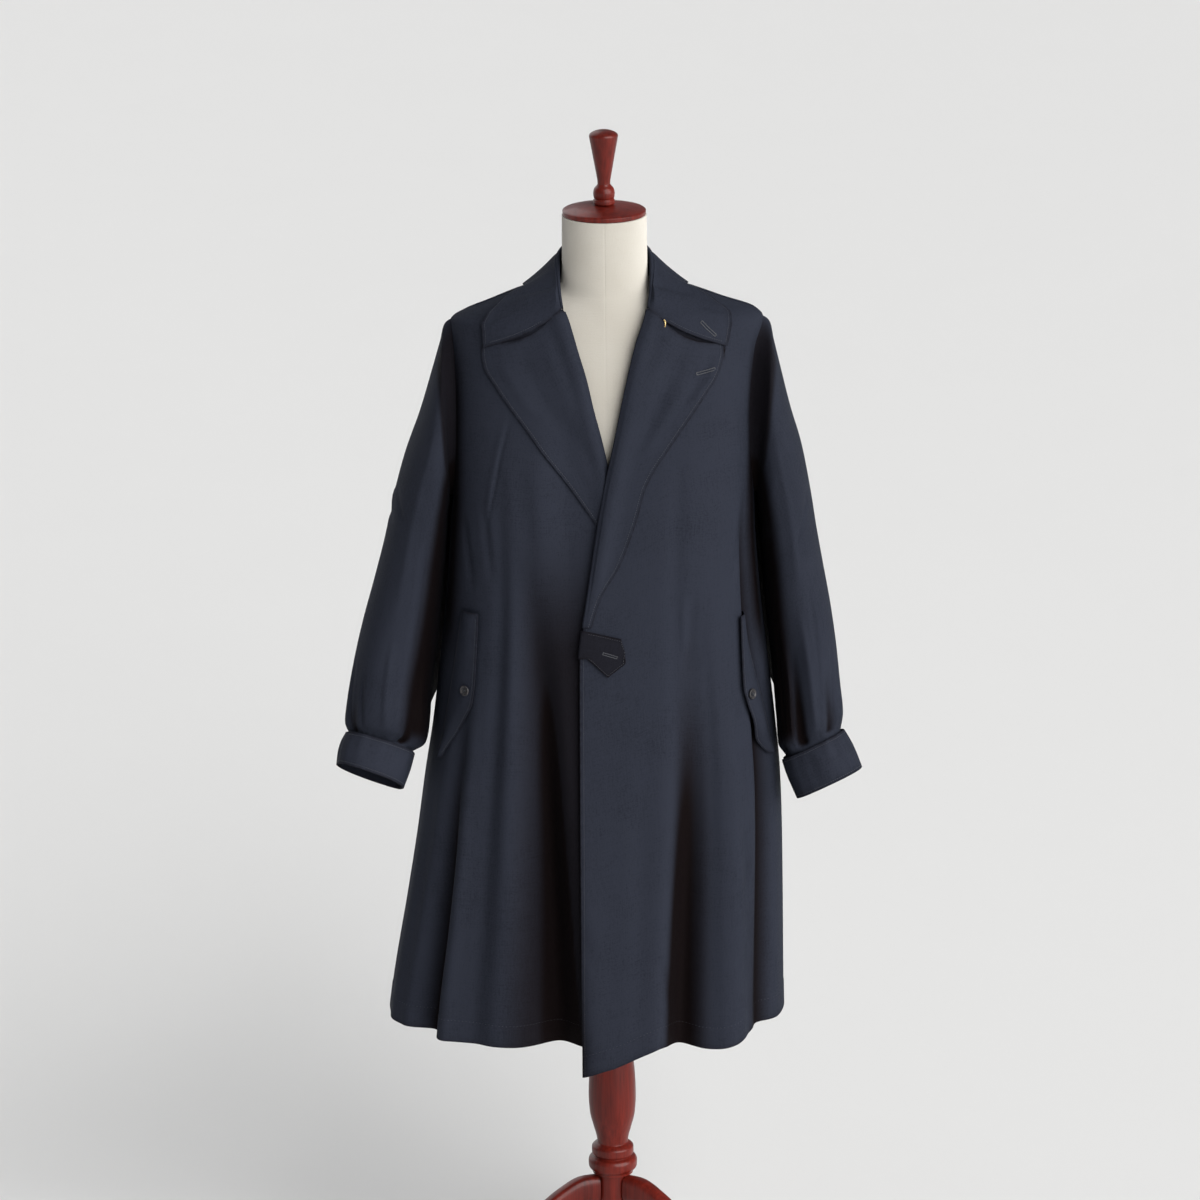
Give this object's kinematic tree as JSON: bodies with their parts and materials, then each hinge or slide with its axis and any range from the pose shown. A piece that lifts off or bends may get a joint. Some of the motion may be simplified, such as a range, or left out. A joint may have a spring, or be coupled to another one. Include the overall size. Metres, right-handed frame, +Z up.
{
  "type": "overcoat worn by a limbless dress form on a turned tripod stand",
  "caption": "Loose knee-length navy overcoat with wide lapels, sewn-on cuffs and buttoned pocket flaps, on a limbless dress form with a turned wooden stand.",
  "frame": {"origin": "on the floor, under the middle of the whole object's box", "axes": "+Z up, the coat's front faces -Y, its wearer's left is +X"},
  "size_m": [0.7348, 0.4514, 1.702],
  "materials": {
    "coat_cloth": "fine plain weave with a faint sheen",
    "calico": "plain woven cotton",
    "turned_wood": "dark mahogany stain, semi-gloss varnish",
    "button": "polished",
    "brass": "worn satin"
  },
  "bodies": {
    "root": {"back": "coat_cloth", "front_right": "coat_cloth", "front_left": "coat_cloth", "sleeve_right": "coat_cloth", "sleeve_left": "coat_cloth", "lapel_right": "coat_cloth", "lapel_left": "coat_cloth", "collar": "coat_cloth", "cuff_right": "coat_cloth", "cuff_left": "coat_cloth", "pocket_flap_right": "coat_cloth", "pocket_flap_left": "coat_cloth", "front_tab": "coat_cloth", "flap_button_right": "button", "flap_button_left": "button", "throat_hook": "brass", "form_body": "calico", "form_cap": "turned_wood", "form_finial": "turned_wood", "stand_column": "turned_wood", "stand_leg_1": "turned_wood", "stand_leg_2": "turned_wood", "stand_leg_3": "turned_wood"}
  },
  "joints": []
}
